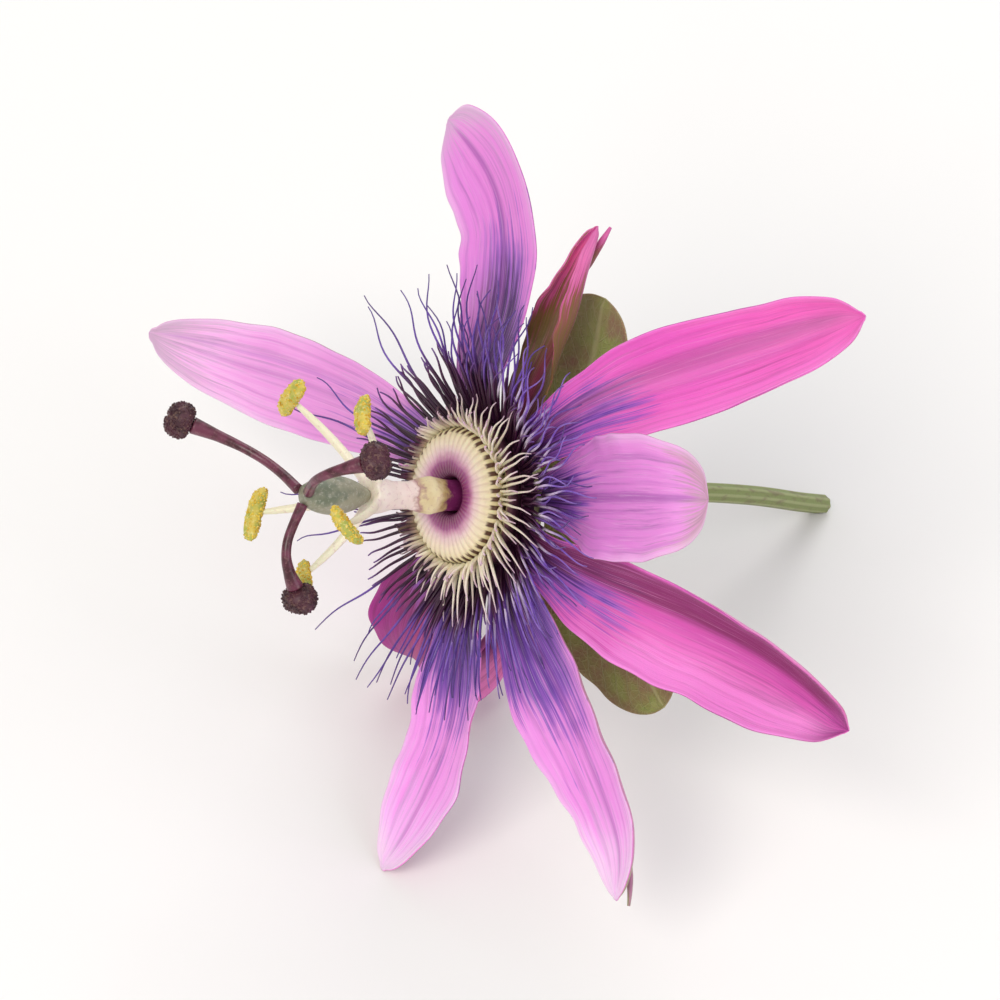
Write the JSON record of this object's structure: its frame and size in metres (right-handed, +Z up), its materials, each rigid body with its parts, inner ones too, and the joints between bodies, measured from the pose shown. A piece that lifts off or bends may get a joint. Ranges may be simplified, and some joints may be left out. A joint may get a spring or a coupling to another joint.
{
  "type": "passion flower",
  "caption": "Open passion flower with a crown of fine filaments round its column, cut with a short curved stalk and lying on a surface.",
  "frame": {"origin": "on the surface that the bloom lies on, below the middle of its box", "axes": "+Z up from the surface, -Y towards the side that the bloom's lower petals face, +X towards the cut end of the stalk"},
  "size_m": [0.0912, 0.086, 0.0737],
  "materials": {
    "sepal": "satin",
    "petal": "satin",
    "corona": "satin",
    "cream": "satin",
    "disc": "satin",
    "column": "satin",
    "anther": "matt",
    "ovary": "satin",
    "style": "satin",
    "cup": "satin",
    "stalk": "satin",
    "bract": "satin"
  },
  "bodies": {
    "root": {"peduncle": "stalk", "calyx_cup": "cup", "sepal_1": "sepal", "sepal_2": "sepal", "sepal_3": "sepal", "sepal_4": "sepal", "sepal_5": "sepal", "petal_1": "petal", "petal_2": "petal", "petal_3": "petal", "petal_4": "petal", "petal_5": "petal", "bract_1": "bract", "bract_2": "bract", "bract_3": "bract", "corona_outer": "corona", "corona_inner": "cream", "operculum": "disc", "androgynophore": "column", "anther_1": "anther", "anther_2": "anther", "anther_3": "anther", "anther_4": "anther", "anther_5": "anther", "ovary": "ovary", "style_1": "style", "style_2": "style", "style_3": "style"}
  },
  "joints": []
}
